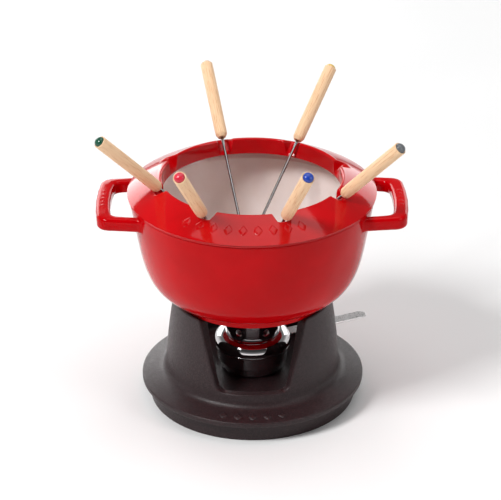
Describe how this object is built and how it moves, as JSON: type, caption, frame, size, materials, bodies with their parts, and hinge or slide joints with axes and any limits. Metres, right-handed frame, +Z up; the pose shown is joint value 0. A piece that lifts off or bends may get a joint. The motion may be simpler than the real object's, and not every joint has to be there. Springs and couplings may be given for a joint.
{
  "type": "fondue pot set",
  "caption": "Cast-iron fondue set: enamelled two-eared bowl on a windowed stand over a spirit burner, with a notched fork ring and wooden-handled forks.",
  "frame": {"origin": "on the stand's axis, in the plane of its foot rim, level with the surface it stands on", "axes": "+Z up along the axis of the stand, bowl and fork ring; +X towards the right ear; -Y towards the front"},
  "size_m": [0.2806, 0.2858, 0.2822],
  "materials": {
    "cast_iron": "matt seasoned casting with a fine grain",
    "red_enamel": "glossy vitreous enamel on cast iron",
    "beech": "sanded, unvarnished",
    "fork_steel": "plain bright rod",
    "green_cap": "gloss",
    "red_cap": "gloss",
    "blue_cap": "gloss",
    "grey_cap": "gloss",
    "natural_cap": "gloss",
    "yellow_cap": "gloss",
    "burner_chrome": "polished pressed steel",
    "burner_steel": "plain pressed steel",
    "fibre": "felted absorbent fibre"
  },
  "bodies": {
    "stand": {"stand": "cast_iron"},
    "pot": {"pot": "red_enamel"},
    "fork_ring": {"fork_ring": "red_enamel"},
    "green_fork": {"green_fork_handle": "beech", "green_fork_shaft": "fork_steel", "green_fork_cap": "green_cap"},
    "red_fork": {"red_fork_handle": "beech", "red_fork_shaft": "fork_steel", "red_fork_cap": "red_cap"},
    "blue_fork": {"blue_fork_handle": "beech", "blue_fork_shaft": "fork_steel", "blue_fork_cap": "blue_cap"},
    "grey_fork": {"grey_fork_handle": "beech", "grey_fork_shaft": "fork_steel", "grey_fork_cap": "grey_cap"},
    "natural_fork": {"natural_fork_handle": "beech", "natural_fork_shaft": "fork_steel", "natural_fork_cap": "natural_cap"},
    "yellow_fork": {"yellow_fork_handle": "beech", "yellow_fork_shaft": "fork_steel", "yellow_fork_cap": "yellow_cap"},
    "burner": {"burner_cup": "burner_chrome", "absorbent_pad": "fibre", "burner_gauze": "burner_steel", "gauze_ring": "burner_steel", "burner_cover": "burner_chrome"},
    "regulator": {"regulator_sleeve": "burner_steel", "regulator_lever": "burner_steel", "lever_rivet_1": "burner_steel", "lever_rivet_2": "burner_steel"}
  },
  "joints": [
    {"name": "pot_lift", "type": "slide", "parent": "stand", "child": "pot", "axis": [0, 0, 1], "range_m": [0, 0.2]},
    {"name": "ring_lift", "type": "slide", "parent": "pot", "child": "fork_ring", "axis": [0, 0, 1], "range_m": [0, 0.1]},
    {"name": "green_fork_slide", "type": "slide", "parent": "fork_ring", "child": "green_fork", "axis": [-0.6165, -0.3361, 0.712], "range_m": [0, 0.095]},
    {"name": "red_fork_slide", "type": "slide", "parent": "fork_ring", "child": "red_fork", "axis": [-0.2191, -0.6472, 0.7302], "range_m": [0, 0.095]},
    {"name": "blue_fork_slide", "type": "slide", "parent": "fork_ring", "child": "blue_fork", "axis": [0.2197, -0.6238, 0.7501], "range_m": [0, 0.095]},
    {"name": "grey_fork_slide", "type": "slide", "parent": "fork_ring", "child": "grey_fork", "axis": [0.5831, -0.3729, 0.7218], "range_m": [0, 0.095]},
    {"name": "natural_fork_slide", "type": "slide", "parent": "fork_ring", "child": "natural_fork", "axis": [-0.1861, 0.781, 0.5962], "range_m": [0, 0.095]},
    {"name": "yellow_fork_slide", "type": "slide", "parent": "fork_ring", "child": "yellow_fork", "axis": [0.3991, 0.6643, 0.632], "range_m": [0, 0.095]},
    {"name": "burner_lift", "type": "slide", "parent": "stand", "child": "burner", "axis": [0, 0, 1], "range_m": [0, 0.018]},
    {"name": "regulator_turn", "type": "hinge", "parent": "burner", "child": "regulator", "pos_m": [0, 0, 0.0534], "axis": [0, 0, 1], "range_deg": [-12, 15]}
  ]
}
